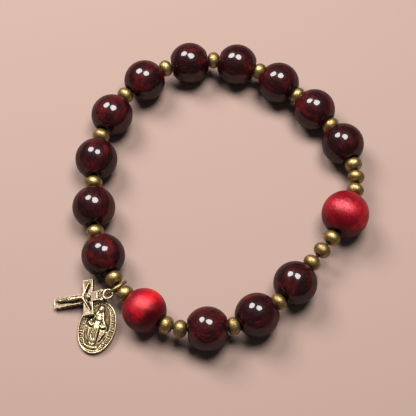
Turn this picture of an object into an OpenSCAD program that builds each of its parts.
// Elastic rosary bracelet, lying flat: wood beads and cast spacers on one thread,
// with a crucifix and an oval medal on a jump ring. The floor is z = 0 and the
// origin is the middle of the wrist opening.

/* [Wood beads] */
// Diameter of the dark lacquered beads
dark_bead_d = 10; // [9:0.1:11]
// Diameter of the red bead beside the jump ring
near_red_bead_d = 10; // [9:0.1:11]
// Diameter of the red bead across the loop
far_red_bead_d = 11; // [10:0.1:12]
// Diameter of the flat at each end of a wood bead
wood_flat_d = 4.6; // [4.2:0.1:5.2]
// Bore of the wood beads
wood_bore_d = 1.4; // [1.2:0.1:1.8]
// Widest diameter of the cone at each mouth of a wood bead's bore
countersink_d = 3.7; // [3:0.1:4]

/* [Spacer beads] */
// Diameter of the cast spacer beads
spacer_d = 4.1; // [3.8:0.1:4.6]
// Length of a spacer bead along its bore
spacer_l = 3.1; // [2.6:0.1:3.5]
// Bore of the spacer beads
spacer_bore_d = 1.4; // [1.2:0.1:1.8]

/* [Thread] */
// Diameter of the elastic thread
cord_d = 0.8; // [0.5:0.1:1]
// Clearance between beads that stand closest on the thread
bead_gap = 0.25; // [0.2:0.05:0.4]

/* [Jump ring] */
// Inner diameter of the jump ring
ring_inner_d = 4.2; // [3.8:0.1:5]
// Wire diameter of the jump ring
ring_wire_d = 0.75; // [0.6:0.05:0.9]
// Clearance round the wire where it passes a bead or holds a loop
ring_gap = 0.15; // [0.12:0.01:0.3]

/* [Charm loops] */
// Inner diameter of the loops on the crucifix and the medal
loop_inner_d = 1.7; // [1.6:0.05:1.9]
// Wire diameter of those loops
loop_wire_d = 0.5; // [0.4:0.05:0.6]

/* [Crucifix] */
// Length of the upright, from its top end to its foot
cross_l = 11.4; // [9:0.1:14]
// Length of the crossbar
cross_span = 8.8; // [7:0.1:11]
// Width of both bars where they meet
bar_w = 2; // [1.6:0.1:2.6]
// How much wider the crossbar's ends and the upright's top end are
arm_flare = 0.5; // [0:0.1:0.8]
// How much wider the upright's foot is
foot_flare = 0.7; // [0:0.1:1]
// Thickness of the bars
bar_t = 0.9; // [0.7:0.05:1.2]
// Distance from the upright's top end to the middle of the crossbar
bar_place = 3.15; // [2.6:0.05:4]
// Length of the figure, from crown to feet
corpus_l = 7.6; // [6:0.1:8]
// Distance between the figure's hands
corpus_span = 7; // [5:0.1:7.4]
// Height of the figure's relief over the bars
corpus_relief = 0.7; // [0.4:0.05:0.9]
// Distance from the upright's top end to the middle of the sunk plaque
plaque_place = 0.65; // [0.6:0.05:1]
// Length of the plaque along the upright
plaque_l = 0.8; // [0.5:0.05:0.9]
// Width of the plaque
plaque_w = 1.6; // [1.2:0.05:1.9]
// Depth of the plaque below the bars' face
plaque_depth = 0.15; // [0.1:0.01:0.25]
// Diameter of the three plain studs on the plaque
stud_d = 0.4; // [0.3:0.02:0.45]
// Diameter of the round corners at the upright's top end
corner_d = 0.8; // [0.6:0.05:1]

/* [Medal] */
// Length of the oval medal, without its loop
medal_l = 12; // [11:0.1:16]
// Width of the oval medal
medal_w = 8.4; // [7:0.1:10]
// Thickness of the medal at its rim
medal_t = 1; // [0.8:0.05:1.4]
// Width of the raised rim
medal_rim_w = 0.3; // [0.2:0.05:0.5]
// Width of the border band inside the rim
medal_band_w = 1.2; // [0.8:0.05:1.4]
// Depth of the field below the rim
medal_field_depth = 0.25; // [0.15:0.05:0.4]
// Height of the standing figure's relief over the field
medal_relief = 0.6; // [0.3:0.05:0.8]
// Width of the chamfer round both faces of the rim
medal_chamfer = 0.12; // [0.05:0.01:0.2]
// Width of the line between the border band and the field
field_line_w = 0.22; // [0.15:0.01:0.35]
// Height of that line over the field
field_line_h = 0.12; // [0.08:0.01:0.2]
// Width of the plain ticks round the border band
tick_w = 0.22; // [0.15:0.01:0.35]
// Height of the ticks over the band
tick_h = 0.1; // [0.06:0.01:0.16]
// Width of the rays below the open hands
ray_w = 0.18; // [0.12:0.01:0.25]
// Height of the rays over the field
ray_h = 0.14; // [0.08:0.01:0.2]
// Radius of the half globe under the feet
globe_r = 2.5; // [2:0.1:2.8]
// Height of the half globe over the field
globe_h = 0.4; // [0.2:0.05:0.6]
// Distance from the middle of the medal's loop to the oval
medal_neck_l = 1.9; // [1.7:0.05:2.4]
// Width of the neck between the medal and its loop
medal_neck_w = 1.2; // [0.9:0.05:1.6]

/* [Hidden] */
$fn = 48;
loose_fn = 10;
loop_fn = 16;
globe_fn = 20;
// Cutting shapes run this far past what they cut
over = 1;

// Columns of a row of the sequence: the kind of piece and the slack before it
KIND = 0;
SLACK = 1;
// The pieces in the order in which they are strung, clockwise from the jump ring
SEQUENCE = [
    ["ring", 0.1], ["spacer", 0], ["dark", 0.4], ["spacer", 0.6], ["dark", 0.6],
    ["spacer", 0.6], ["dark", 0.6], ["spacer", 0.6], ["dark", 0.6], ["spacer", 0.6],
    ["dark", 0.6], ["spacer", 0.6], ["dark", 0.5], ["spacer", 0.3], ["dark", 0.3],
    ["spacer", 0.3], ["dark", 0], ["spacer", 0], ["dark", 0], ["spacer", 0],
    ["dark", 0.1], ["spacer", 0.2], ["spacer", 0.2], ["spacer", 0.3], ["far_red", 0.3],
    ["spacer", 0.5], ["spacer", 0.6], ["spacer", 0.6], ["dark", 0.5], ["spacer", 0.2],
    ["dark", 0.1], ["spacer", 0.2], ["dark", 0.2], ["spacer", 0.2], ["spacer", 0.3],
    ["near_red", 0.1], ["spacer", 0.3]
];
// Points that the loop passes, clockwise from the jump ring, before it is brought
// to the length of the pieces on it
ROUTE = [
    [-22.5, -24], [-28, -13.5], [-29.5, -2.5], [-29, 12], [-24, 24], [-15, 32], [-3.5, 35],
    [7, 33], [16, 27], [24, 19.5], [29.5, 10.5], [31, 1], [26.5, -9.5], [19.5, -18.5],
    [12.5, -27], [3, -32.5], [-8, -33.5], [-15, -31]
];
route_steps = 12;
// Chords are this much shorter than the arcs that they span
arc_allowance = 1.004;

// The loop's length and the places of the pieces on it
function is_wood(kind) = kind == "dark" || kind == "near_red" || kind == "far_red";
function wood_d(kind) =
    kind == "near_red" ? near_red_bead_d : kind == "far_red" ? far_red_bead_d : dark_bead_d;
function wood_l(d) = sqrt(d * d - wood_flat_d * wood_flat_d);
ring_room = ring_wire_d + 4 * ring_gap;
function piece_l(kind) =
    kind == "ring" ? ring_room : kind == "spacer" ? spacer_l : wood_l(wood_d(kind));

// A spacer's round end sinks into the cone of a wood bead's mouth
spacer_end_r = spacer_l / 2;
spacer_end_x = spacer_d / 2 - spacer_end_r;
cone_reach = countersink_d / 2 - spacer_end_x;
nest = max(-bead_gap, cone_reach + spacer_end_r - (spacer_end_r + bead_gap) * sqrt(2));
function between(a, b) =
    a == "ring" || b == "ring" ? 0 : is_wood(a) != is_wood(b) ? -nest : bead_gap;

count = len(SEQUENCE);
function kind_at(i) = SEQUENCE[(i + count) % count][KIND];
function gap_before(i) = between(kind_at(i - 1), kind_at(i)) + SEQUENCE[i % count][SLACK];
function span(i) = piece_l(kind_at(i)) + (gap_before(i) + gap_before(i + 1)) / 2;
function running(v) =
    [for (i = 0, s = 0; i <= len(v); s = s + (i < len(v) ? v[i] : 0), i = i + 1) s];
marks = running([for (i = [0 : count - 1]) span(i)]);
loop_l = marks[count];

function spline(a, b, c, d, u) =
    (2 * b + (c - a) * u + (2 * a - 5 * b + 4 * c - d) * u * u
    + (3 * b - a - 3 * c + d) * u * u * u) / 2;
corners = len(ROUTE);
function corner(i) = ROUTE[(i + corners) % corners];
curve = [
    for (i = [0 : corners - 1], k = [0 : route_steps - 1])
        spline(corner(i - 1), corner(i), corner(i + 1), corner(i + 2), k / route_steps)
];
samples = len(curve);
curve_marks = running([for (i = [0 : samples - 1]) norm(curve[(i + 1) % samples] - curve[i])]);
curve_l = curve_marks[samples];
route_scale = loop_l * arc_allowance / curve_l;
x_along = [for (i = [0 : samples]) [curve_marks[i], curve[i % samples][0]]];
y_along = [for (i = [0 : samples]) [curve_marks[i], curve[i % samples][1]]];

// Wood beads rest on the floor, and what is strung between them lies between their heights
function wood_before(i) = is_wood(kind_at(i)) ? i : wood_before(i - 1);
function wood_after(i) = is_wood(kind_at(i)) ? i : wood_after(i + 1);
function mark(i) = marks[(i + count) % count] + loop_l * floor(i / count);
function rest_z(i) =
    let(a = wood_before(i - 1), b = wood_after(i),
        a_z = wood_d(kind_at(a)) / 2, b_z = wood_d(kind_at(b)) / 2,
        a_s = mark(a + 1), b_s = mark(b))
    b_s > a_s ? a_z + (b_z - a_z) * (mark(i) - a_s) / (b_s - a_s) : a_z;
function joint_at(i) =
    let(s = marks[i] * curve_l / loop_l)
    [route_scale * lookup(s, x_along), route_scale * lookup(s, y_along), rest_z(i)];
joints = [for (i = [0 : count - 1]) joint_at(i)];
function joint(i) = joints[(i + count) % count];
function middle(i) = (joint(i) + joint(i + 1)) / 2;
function direction(i) = (joint(i + 1) - joint(i)) / norm(joint(i + 1) - joint(i));
function heading(v) = atan2(v[1], v[0]);
function rise(v) = asin(v[2]);

// The nodes: each kind of bead is numbered in the order of the sequence
function places(kind) = [for (i = [0 : count - 1]) if (kind_at(i) == kind) i];
dark_places = places("dark");
spacer_places = places("spacer");
red_places = concat(places("far_red"), places("near_red"));
function numbered(name, n) = str(name, n < 10 ? "_0" : "_", n);
dark_names = [for (k = [1 : len(dark_places)]) numbered("wood_bead", k)];
red_names = [for (k = [1 : len(red_places)]) numbered("red_bead", k)];
spacer_names = [for (k = [1 : len(spacer_places)]) numbered("spacer_bead", k)];

// The jump ring hangs round the thread and leans on the last spacer bead
ring_r = (ring_inner_d + ring_wire_d) / 2;
ring_hang = 67;
ring_lean = 18;
ring_heading = heading(direction(0)) + 90;
ring_out = [cos(ring_heading), sin(ring_heading), 0];
ring_up = [-sin(ring_heading) * sin(ring_lean), cos(ring_heading) * sin(ring_lean), cos(ring_lean)];
thread_offset = ring_inner_d / 2 - cord_d / 2 - ring_gap;
function ring_spoke(a) = ring_out * cos(a) - ring_up * sin(a);
ring_centre = middle(0) + thread_offset * ring_spoke(ring_hang);
function ring_point(a) = ring_centre + ring_r * ring_spoke(a);

// Each charm hangs on the ring by its loop, whose middle lies a little off the wire's,
// and its far end lies on the floor
loop_r = (loop_inner_d + loop_wire_d) / 2;
neck_clearance = 0.1;
crucifix_neck_l = loop_r + loop_wire_d / 2 + neck_clearance;
// The neck runs this far into what it carries
neck_root = 0.3;
crucifix_angle = -9;
crucifix_seat = [0.15, -0.05, 0];
crucifix_heading = 186;
crucifix_roll = 7;
crucifix_reach = crucifix_neck_l + cross_l;
crucifix_at = ring_point(crucifix_angle) + crucifix_seat;
crucifix_side = (bar_w + foot_flare) / 2 * sin(crucifix_roll);
crucifix_drop = asin((crucifix_at[2] - bar_t / 2 - crucifix_side) / crucifix_reach);
medal_angle = 30;
medal_seat = [0, -0.1, 0];
medal_heading = 254;
medal_reach = medal_neck_l + medal_l;
medal_at = ring_point(medal_angle) + medal_seat;
medal_drop = asin((medal_at[2] - medal_t / 2) / medal_reach);

// Colours
dark_wood = [0.16, 0.03, 0.04];
red_wood = [0.62, 0.06, 0.1];
bronze = [0.55, 0.43, 0.2];
pale_bronze = [0.7, 0.61, 0.42];
elastic = [0.3, 0.2, 0.15];

// A ball with a flat at each end, a bore and a cone at each mouth of it
module wood_bead(d) {
    l = wood_l(d);
    cone_l = (countersink_d - wood_bore_d) / 2;
    rotate_extrude() difference() {
        intersection() {
            circle(d = d);
            translate([0, -l / 2]) square([d / 2 + over, l]);
        }
        translate([-over, -d / 2]) square([over + wood_bore_d / 2, d]);
        for (side = [-1, 1]) scale([1, side]) polygon([
            [0, l / 2 - cone_l], [wood_bore_d / 2, l / 2 - cone_l],
            [countersink_d / 2, l / 2], [countersink_d / 2, d / 2], [0, d / 2]
        ]);
    }
}

// A barrel with round ends and a bore
module spacer_bead() {
    rotate_extrude() difference() {
        intersection() {
            union() {
                translate([spacer_end_x, 0]) circle(r = spacer_end_r);
                translate([0, -spacer_end_r]) square([spacer_end_x, spacer_l]);
            }
            translate([spacer_bore_d / 2, -spacer_l]) square([spacer_d, 2 * spacer_l]);
        }
    }
}

// Turns a bead's bore along the thread at its place
module strung(i) {
    v = direction(i);
    translate(middle(i)) rotate([0, 90 - rise(v), heading(v)]) children();
}

// A closed tube through every joint and every piece's middle
cord_sides = 8;
function unit(v) = v / norm(v);
cord_stations = [
    for (i = [0 : count - 1]) each [
        [joint(i), unit(direction((i + count - 1) % count) + direction(i))],
        [middle(i), direction(i)]
    ]
];
function cord_rim(p, t) =
    let(side = unit([-t[1], t[0], 0]), up = cross(t, side))
    [for (k = [0 : cord_sides - 1])
        p + cord_d / 2 * (side * cos(360 * k / cord_sides) + up * sin(360 * k / cord_sides))];
module elastic_cord() {
    stations = len(cord_stations);
    points = [for (s = cord_stations) each cord_rim(s[0], s[1])];
    function id(s, k) = (s % stations) * cord_sides + k % cord_sides;
    faces = [
        for (s = [0 : stations - 1], k = [0 : cord_sides - 1]) each [
            [id(s, k), id(s, k + 1), id(s + 1, k)],
            [id(s, k + 1), id(s + 1, k + 1), id(s + 1, k)]
        ]
    ];
    color(elastic) polyhedron(points, faces);
}

module jump_ring() {
    color(bronze) translate(ring_centre) rotate([90 - ring_lean, 0, ring_heading])
        rotate_extrude() translate([ring_r, 0]) circle(d = ring_wire_d);
}

// What crucifix and medal share: each is modelled with its loop's middle at the origin,
// its far end along X and its face up
module on_ring(at, turn, drop, roll) {
    translate(at) rotate([0, 0, turn]) rotate([0, drop, 0]) rotate([roll, 0, 0]) children();
}
module charm_loop() {
    rotate_extrude($fn = loop_fn) translate([loop_r, 0]) circle(d = loop_wire_d, $fn = loose_fn);
}
module neck(l, w) {
    translate([loop_r, -w / 2, -loop_wire_d / 2]) cube([l - loop_r + neck_root, w, loop_wire_d]);
}
// A flattened ball, which ends a limb or lies alone
module pad(x, y, z, r, h) {
    translate([x, y, z]) scale([1, 1, h / r]) sphere(r = r, $fn = loose_fn);
}

studs = 3;
corner_inset = corner_d / 4;
// The figure on the crucifix: each row is a limb from one point to another.
// X and the radii are shares of its length, Y is a share of half its hands' distance,
// and a limb stands higher where it is thicker
crown_above_bar = 0.2;
limb_base = 0.45;
limb_growth = 4;
CORPUS = [
    // x1, y1, r1, x2, y2, r2
    [0.07, 0.06, 0.075, 0.12, 0.03, 0.055],
    [0.19, 0.14, 0.055, 0.22, -0.14, 0.055],
    [0.2, 0.08, 0.075, 0.42, 0.03, 0.065],
    [0.2, -0.08, 0.075, 0.42, -0.03, 0.065],
    [0.42, 0, 0.085, 0.55, 0, 0.09],
    [0.55, 0.07, 0.06, 0.76, 0.06, 0.045],
    [0.55, -0.05, 0.06, 0.76, -0.02, 0.045],
    [0.76, 0.06, 0.045, 0.95, 0.02, 0.035],
    [0.76, -0.02, 0.045, 0.95, 0.01, 0.035],
    [0.19, 0.2, 0.04, 0.06, 0.62, 0.034],
    [0.06, 0.62, 0.034, -0.04, 1, 0.034],
    [0.19, -0.2, 0.04, 0.06, -0.62, 0.034],
    [0.06, -0.62, 0.034, -0.04, -1, 0.034]
];
function limb_h(r) = corpus_relief * (limb_base + limb_growth * r);
module corpus_pad(x, y, r) {
    pad(x * corpus_l, y * corpus_span / 2, bar_t / 2, r * corpus_l, limb_h(r));
}
module slab(outline) {
    translate([0, 0, -bar_t / 2]) linear_extrude(bar_t) polygon(outline);
}
module crucifix() {
    bar_x = crucifix_neck_l + bar_place;
    foot_x = crucifix_neck_l + cross_l;
    plaque_x = crucifix_neck_l + plaque_place;
    half_w = bar_w / 2;
    arm_w = half_w + arm_flare / 2;
    foot_w = half_w + foot_flare / 2;
    tip_y = cross_span / 2;
    color(pale_bronze) on_ring(crucifix_at, crucifix_heading, crucifix_drop, crucifix_roll) {
        difference() {
            union() {
                slab([
                    [bar_x - arm_w, -tip_y], [bar_x + arm_w, -tip_y], [bar_x + half_w, 0],
                    [bar_x + arm_w, tip_y], [bar_x - arm_w, tip_y], [bar_x - half_w, 0]
                ]);
                slab([
                    [crucifix_neck_l, -arm_w], [bar_x, -half_w], [foot_x, -foot_w],
                    [foot_x, foot_w], [bar_x, half_w], [crucifix_neck_l, arm_w]
                ]);
            }
            translate([plaque_x, 0, bar_t / 2])
                cube([plaque_l, plaque_w, 2 * plaque_depth], center = true);
        }
        for (k = [-1 : 1])
            pad(plaque_x, k * plaque_w / studs, bar_t / 2 - plaque_depth, stud_d / 2, plaque_depth);
        for (side = [-1, 1])
            pad(crucifix_neck_l, side * (arm_w - corner_inset), 0, corner_d / 2, bar_t / 2);
        neck(crucifix_neck_l, bar_w / 2);
        charm_loop();
        translate([bar_x - crown_above_bar, 0, 0]) for (row = CORPUS) hull() {
            corpus_pad(row[0], row[1], row[2]);
            corpus_pad(row[3], row[4], row[5]);
        }
    }
}

// The figure on the medal, under a veil and over a half globe. X is a share of half the
// medal's length and Y of half its width, from its middle; the radii are shares of the
// latter, and H is a share of the relief's height
MEDAL_FIGURE = [
    // x1, y1, r1, h1, x2, y2, r2, h2
    [-0.74, -0.04, 0.14, 1, -0.66, -0.03, 0.12, 0.97],
    [-0.72, -0.14, 0.11, 0.75, -0.42, -0.2, 0.13, 0.7],
    [-0.71, 0.08, 0.11, 0.73, -0.43, 0.22, 0.13, 0.67],
    [-0.5, -0.06, 0.18, 0.88, -0.12, -0.06, 0.2, 0.91],
    [-0.48, 0.1, 0.16, 0.84, -0.1, 0.06, 0.18, 0.86],
    [-0.38, -0.2, 0.12, 0.82, -0.12, -0.5, 0.07, 0.78],
    [-0.36, 0.24, 0.12, 0.8, -0.02, 0.5, 0.08, 0.76],
    [-0.13, -0.49, 0.06, 0.74, 0.02, -0.32, 0.07, 0.59],
    [-0.03, 0.49, 0.06, 0.57, 0.03, 0.32, 0.08, 0.54],
    [-0.14, -0.04, 0.19, 0.93, 0.24, -0.12, 0.26, 0.89],
    [0.22, -0.11, 0.24, 0.87, 0.56, -0.06, 0.17, 0.72],
    [0.02, -0.29, 0.06, 0.71, 0.55, -0.22, 0.05, 0.66],
    [0.03, -0.05, 0.06, 1.08, 0.57, -0.07, 0.05, 0.94],
    [0.01, 0.17, 0.06, 0.79, 0.56, 0.08, 0.05, 0.68],
    [0.6, -0.16, 0.07, 0.64, 0.61, 0.06, 0.07, 0.62]
];
tick_step = 10;
tick_l = medal_band_w / 2;
rays = 3;
// The rays run from the hands to a row of ends, as shares of the medal's half sizes
ray_start = [0.06, 0.52];
ray_end = [0.5, 0.26];
ray_spread = [-0.1, 0.16];
ray_taper = 0.9;
globe_place = 1.02;
// The half globe ends halfway across the rim
globe_inset = medal_rim_w / 2;
module oval(z, h, inset) {
    translate([0, 0, z]) linear_extrude(h)
        scale([medal_l / 2 - inset, medal_w / 2 - inset]) circle(r = 1, $fn = $fn);
}
module medal_pad(x, y, r, h) {
    pad(x * medal_l / 2, y * medal_w / 2, 0, r, h);
}
module medal_plate(face, field) {
    difference() {
        hull() {
            oval(-face, medal_t, medal_chamfer);
            oval(medal_chamfer - face, medal_t - 2 * medal_chamfer, 0);
        }
        oval(field, medal_t, medal_rim_w);
    }
    difference() {
        oval(0, field + field_line_h, medal_rim_w + medal_band_w);
        oval(-over, medal_t + 2 * over, medal_rim_w + medal_band_w + field_line_w);
    }
}
module ticks() {
    a = medal_l / 2 - medal_rim_w - medal_band_w / 2;
    b = medal_w / 2 - medal_rim_w - medal_band_w / 2;
    for (t = [tick_step : tick_step : 360 - tick_step])
        translate([a * cos(t), b * sin(t), 0]) rotate([0, 0, atan2(sin(t) * a, cos(t) * b)])
            cube([tick_l, tick_w, 2 * tick_h], center = true);
}
module medal() {
    face = medal_t / 2;
    field = face - medal_field_depth;
    color(pale_bronze) on_ring(medal_at, medal_heading, medal_drop, 0) {
        translate([medal_neck_l + medal_l / 2, 0, 0]) {
            medal_plate(face, field);
            translate([0, 0, field]) {
                ticks();
                for (row = MEDAL_FIGURE) hull() {
                    medal_pad(row[0], row[1], row[2] * medal_w / 2, row[3] * medal_relief);
                    medal_pad(row[4], row[5], row[6] * medal_w / 2, row[7] * medal_relief);
                }
                for (side = [-1, 1], k = [0 : rays - 1]) hull() {
                    end = ray_end + k * ray_spread;
                    medal_pad(ray_start[0], side * ray_start[1], ray_w / 2, ray_h);
                    medal_pad(end[0], side * end[1], ray_w / 2, ray_h * ray_taper);
                }
            }
            intersection() {
                translate([globe_place * medal_l / 2, 0, field])
                    scale([1, 1, globe_h / globe_r]) sphere(r = globe_r, $fn = globe_fn);
                oval(0, medal_t, globe_inset);
            }
        }
        neck(medal_neck_l, medal_neck_w);
        charm_loop();
    }
}

for (k = [0 : len(dark_places) - 1]) color(dark_wood) strung(dark_places[k]) wood_bead(dark_bead_d);
for (k = [0 : len(red_places) - 1]) color(red_wood) strung(red_places[k]) wood_bead(wood_d(kind_at(red_places[k])));
for (k = [0 : len(spacer_places) - 1]) color(bronze) strung(spacer_places[k]) spacer_bead();
elastic_cord();
jump_ring();
crucifix();
medal();
